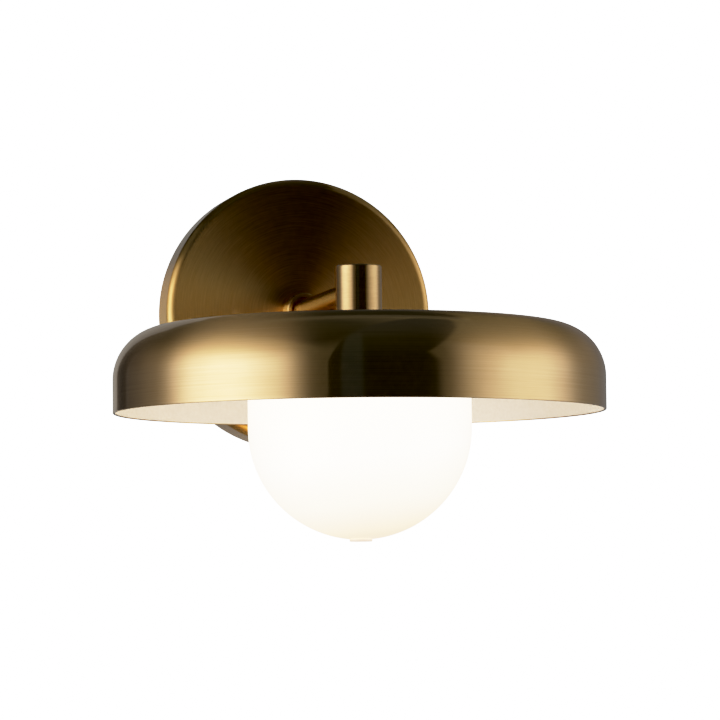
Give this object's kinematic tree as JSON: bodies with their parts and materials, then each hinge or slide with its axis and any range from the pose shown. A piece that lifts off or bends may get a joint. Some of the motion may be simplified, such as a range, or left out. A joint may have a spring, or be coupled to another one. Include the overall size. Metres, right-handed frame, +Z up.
{
  "type": "globe wall sconce",
  "caption": "Wall sconce with a round backplate, a straight arm, a wide spun metal shade and an opal glass globe that screws in below it round a plug-in lamp.",
  "frame": {"origin": "centre of the backplate on the wall plane", "axes": "+Y into the wall, so the light stands out towards -Y; +Z up; +X to the right of someone who faces the wall"},
  "size_m": [0.216, 0.241, 0.1734],
  "materials": {
    "brushed_brass": "aged brass, brushed and lacquered",
    "brushed_brass_and_enamel": "aged brass, brushed and lacquered outside, matt white enamel inside",
    "zinc_plated_steel": "zinc plated",
    "green_steel": "green screw",
    "tinned_terminals": "tinned",
    "green_insulation": "soft sleeve",
    "brown_insulation": "soft sleeve",
    "blue_insulation": "soft sleeve",
    "white_nylon": "moulded",
    "black_nylon": "moulded",
    "terminal_brass": "bright",
    "white_enamel": "matt white enamel",
    "clear_silicone": "soft",
    "opal_glass": "opal white, satin etched",
    "white_ceramic": "unglazed",
    "lamp_ceramic": "fine",
    "nickel_wire": "nickel plated",
    "lamp_glass": "clear",
    "led_board": "white board, yellow chips"
  },
  "bodies": {
    "fixture": {"backplate_cover": "brushed_brass", "arm_collar": "brushed_brass", "arm_tube": "brushed_brass", "post_body": "brushed_brass", "shade_shell": "brushed_brass_and_enamel", "mounting_strap": "zinc_plated_steel", "reinforcing_plate": "zinc_plated_steel", "arm_lock_washer": "zinc_plated_steel", "arm_nut": "zinc_plated_steel", "fitter_lock_washer": "zinc_plated_steel", "fitter_nut": "zinc_plated_steel", "fitter_stem": "zinc_plated_steel", "lampholder_bracket": "zinc_plated_steel", "holder_screws": "zinc_plated_steel", "terminal_screws": "zinc_plated_steel", "terminal_fixing_screw": "zinc_plated_steel", "cover_screws": "brushed_brass", "ground_screw": "green_steel", "ground_ring_arm": "tinned_terminals", "ground_ring_strap": "tinned_terminals", "lead_ground": "green_insulation", "lead_live": "brown_insulation", "lead_neutral": "blue_insulation", "terminal_block": "white_nylon", "terminal_inserts": "terminal_brass", "wire_bushings": "black_nylon", "shade_washer": "white_enamel", "fitter_cup": "white_enamel", "lampholder": "white_ceramic", "lampholder_contacts": "terminal_brass"},
    "gasket": {"globe_gasket": "clear_silicone"},
    "globe": {"opal_globe": "opal_glass"},
    "lamp": {"lamp_base": "lamp_ceramic", "lamp_pins": "nickel_wire", "lamp_envelope": "lamp_glass", "lamp_led_board": "led_board"}
  },
  "joints": [
    {"name": "globe_drop", "type": "slide", "parent": "fixture", "child": "gasket", "axis": [0, 0, -1], "range_m": [0, 0.0061]},
    {"name": "globe_turn", "type": "hinge", "parent": "gasket", "child": "globe", "pos_m": [0, -0.133, -0.032], "axis": [0, 0, -1], "range_deg": [0, 540]},
    {"name": "lamp_pull", "type": "slide", "parent": "fixture", "child": "lamp", "axis": [0, 0, -1], "range_m": [0, 0.012]}
  ],
  "couplings": [
    {"joint": "globe_drop", "follows": "globe_turn", "m_per_rad": 0.00063662}
  ]
}
